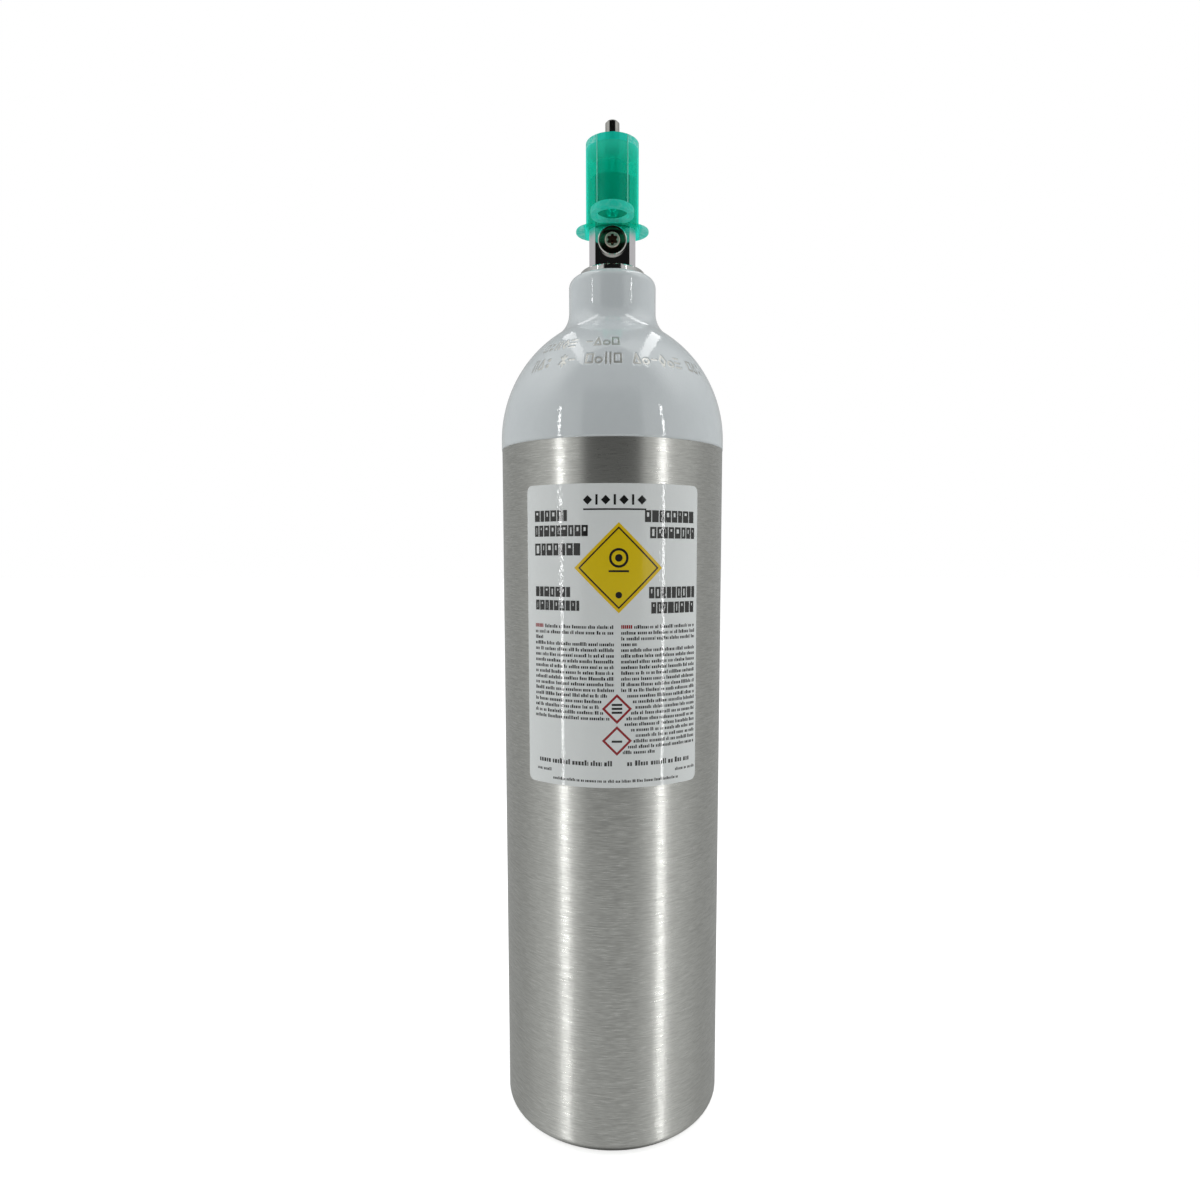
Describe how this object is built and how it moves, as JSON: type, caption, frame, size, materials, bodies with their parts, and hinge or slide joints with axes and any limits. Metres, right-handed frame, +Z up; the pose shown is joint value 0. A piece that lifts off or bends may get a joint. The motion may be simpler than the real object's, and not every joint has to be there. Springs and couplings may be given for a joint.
{
  "type": "oxygen cylinder",
  "caption": "Small aluminium medical oxygen cylinder with white shoulder, front label, chromed pin-index post valve and a translucent tear-off valve cover.",
  "frame": {"origin": "centre of the base, on the plane it stands on", "axes": "+Z up along the cylinder, -Y towards the label, safety plug and pull ring, +Y towards the gas outlet"},
  "size_m": [0.1112, 0.1114, 0.4996],
  "materials": {
    "shell_aluminium": "brushed around the barrel, white gloss enamel on the shoulder",
    "label_film": "satin printed film",
    "valve_chrome": "mirror",
    "stem_chrome": "polished, darker",
    "brass_parts": "turned",
    "copper_parts": "rolled",
    "black_rubber": "moulded",
    "white_nylon": "turned",
    "cover_plastic": "translucent moulded polyethylene"
  },
  "bodies": {
    "cylinder": {"cylinder_shell": "shell_aluminium", "product_label": "label_film", "valve_body": "valve_chrome", "neck_o_ring": "black_rubber", "debris_tube": "brass_parts", "safety_plug": "stem_chrome", "burst_disc": "copper_parts", "safety_gasket": "copper_parts", "gland_nut": "valve_chrome", "thrust_washer": "white_nylon"},
    "stem": {"valve_stem": "stem_chrome", "stem_o_ring": "black_rubber", "stem_backup_ring": "white_nylon"},
    "seat": {"seat_plug": "brass_parts", "seat_insert": "white_nylon"},
    "cover": {"protective_cover": "cover_plastic"},
    "strip": {"tear_strip": "cover_plastic"}
  },
  "joints": [
    {"name": "stem_turn", "type": "hinge", "parent": "cylinder", "child": "stem", "pos_m": [0, 0, 0.424], "axis": [0, 0, 1], "range_deg": [0, 540.1]},
    {"name": "seat_lift", "type": "slide", "parent": "stem", "child": "seat", "axis": [0, 0, 1], "range_m": [0, 0.0015]},
    {"name": "cover_lift", "type": "slide", "parent": "cylinder", "child": "cover", "axis": [0, 0, 1], "range_m": [0, 0.056]},
    {"name": "strip_peel", "type": "hinge", "parent": "cover", "child": "strip", "pos_m": [0, -0.0131, 0.48535], "axis": [-1, 0, 0], "range_deg": [0, 120]}
  ],
  "couplings": [
    {"joint": "stem_turn", "follows": "seat_lift", "rad_per_m": 6283.2}
  ]
}
